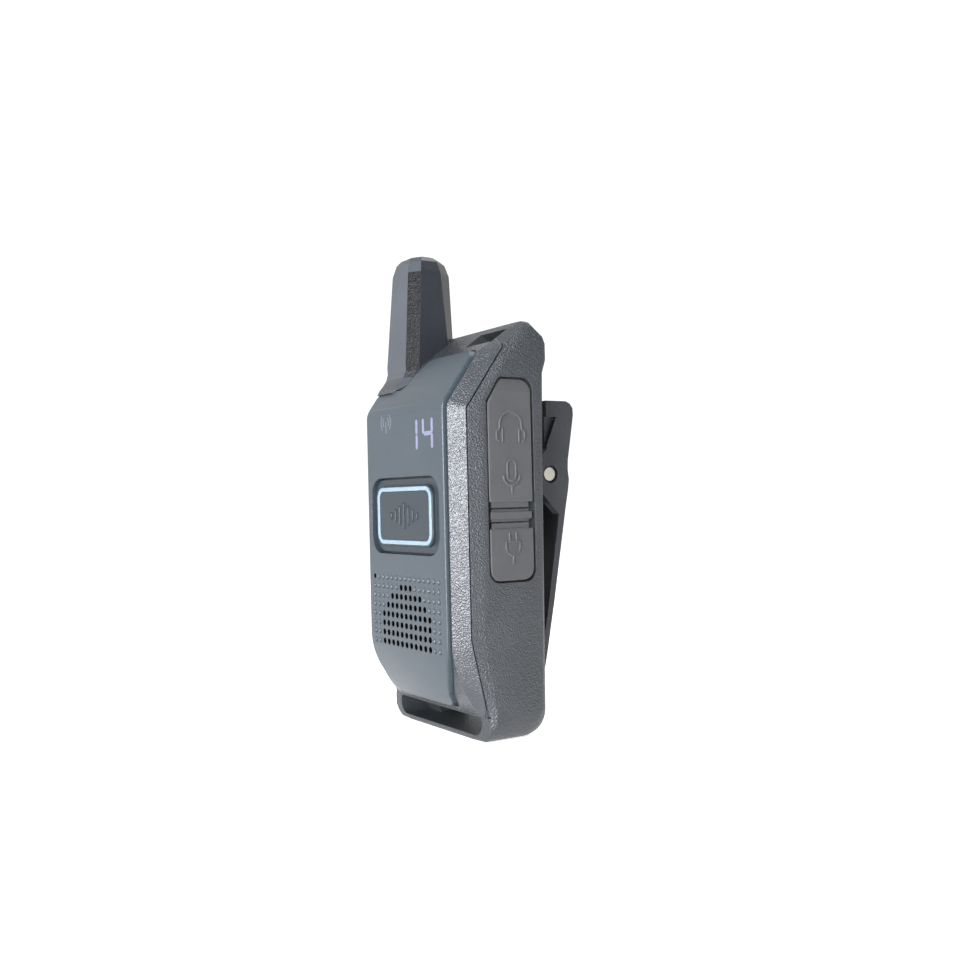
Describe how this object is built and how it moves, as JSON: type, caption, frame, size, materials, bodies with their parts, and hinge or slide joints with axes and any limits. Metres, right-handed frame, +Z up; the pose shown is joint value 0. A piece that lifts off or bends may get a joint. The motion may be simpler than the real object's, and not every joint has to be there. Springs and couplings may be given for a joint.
{
  "type": "handheld two-way radio",
  "caption": "Small handheld radio with a wide talk button, grille, stub antenna, rubber port covers on the side and a sprung belt clip on the back.",
  "frame": {"origin": "middle of the flat base of the housing, on the surface it stands on", "axes": "+Z up along the radio, -Y out of the front panel, +X to the side with the port covers"},
  "size_m": [0.0473, 0.0398, 0.1167],
  "materials": {
    "shell_plastic": "spark-eroded black ABS/PC, coarse grain",
    "panel_plastic": "smooth satin painted polycarbonate",
    "light_ring": "clear satin light ring",
    "light_guide": "diffusing clear plastic",
    "component_black": "moulded component plastic",
    "circuit_board": "green solder mask",
    "plated_steel": "nickel plated steel",
    "spring_steel": "drawn spring wire",
    "brass_parts": "turned brass",
    "cell_wrap": "foil pouch cell",
    "foam": "closed-cell foam",
    "cover_rubber": "moulded soft rubber, matte",
    "antenna_plastic": "matte moulded plastic with a grained strip",
    "clip_plastic": "glass-filled nylon, fine grain",
    "clip_pin_metal": "bright steel pin",
    "speaker_mesh": "woven dust cloth"
  },
  "bodies": {
    "housing": {"front_shell": "shell_plastic", "rear_shell": "shell_plastic", "front_panel": "panel_plastic", "ptt_switch": "component_black", "display_module": "component_black", "display_guide": "light_guide", "main_board": "circuit_board", "side_switches": "component_black", "headset_jack_small": "component_black", "headset_jack_large": "component_black", "charging_socket": "plated_steel", "battery_cell": "cell_wrap", "battery_pad": "foam", "radio_shield": "plated_steel", "port_cover_anchor": "cover_rubber", "antenna_cover": "antenna_plastic", "antenna_coil": "spring_steel", "antenna_stud": "brass_parts", "antenna_contact": "brass_parts", "clip_base": "clip_plastic", "clip_screws": "plated_steel", "clip_pin": "clip_pin_metal", "clip_spring": "spring_steel", "shell_screws": "plated_steel", "speaker_cloth": "speaker_mesh", "speaker_gasket": "foam", "speaker_frame": "plated_steel", "speaker_cone": "component_black", "microphone_boot": "cover_rubber", "microphone": "plated_steel"},
    "ptt": {"ptt_button": "panel_plastic", "ptt_ring": "light_ring", "ptt_switch_cap": "component_black"},
    "headset_cover": {"headset_flap": "cover_rubber"},
    "charging_cover": {"usb_flap": "cover_rubber"},
    "clip": {"clip_lever": "clip_plastic", "clip_spring_arm": "spring_steel"},
    "power_key": {"power_button": "cover_rubber"},
    "volume_up_key": {"volume_up_button": "cover_rubber"},
    "volume_down_key": {"volume_down_button": "cover_rubber"}
  },
  "joints": [
    {"name": "ptt_press", "type": "slide", "parent": "housing", "child": "ptt", "axis": [0, 1, 0], "range_m": [0, 0.0005], "stiffness_N_per_m": 4000, "springref_m": -0.0003},
    {"name": "headset_cover_hinge", "type": "hinge", "parent": "housing", "child": "headset_cover", "pos_m": [0.0232, 0.0022, 0.05315], "axis": [0, 1, 0], "range_deg": [0, 90]},
    {"name": "charging_cover_hinge", "type": "hinge", "parent": "housing", "child": "charging_cover", "pos_m": [0.0232, 0.0022, 0.04985], "axis": [0, -1, 0], "range_deg": [0, 90]},
    {"name": "clip_hinge", "type": "hinge", "parent": "housing", "child": "clip", "pos_m": [0, 0.0194, 0.061], "axis": [1, 0, 0], "range_deg": [0, 16], "stiffness_Nm_per_rad": 0.6, "springref_deg": -11.46},
    {"name": "power_press", "type": "slide", "parent": "housing", "child": "power_key", "axis": [1, 0, 0], "range_m": [0, 0.0004], "stiffness_N_per_m": 2500, "springref_m": -0.0002},
    {"name": "volume_up_press", "type": "slide", "parent": "housing", "child": "volume_up_key", "axis": [1, 0, 0], "range_m": [0, 0.0004], "stiffness_N_per_m": 2500, "springref_m": -0.0002},
    {"name": "volume_down_press", "type": "slide", "parent": "housing", "child": "volume_down_key", "axis": [1, 0, 0], "range_m": [0, 0.0004], "stiffness_N_per_m": 2500, "springref_m": -0.0002}
  ]
}
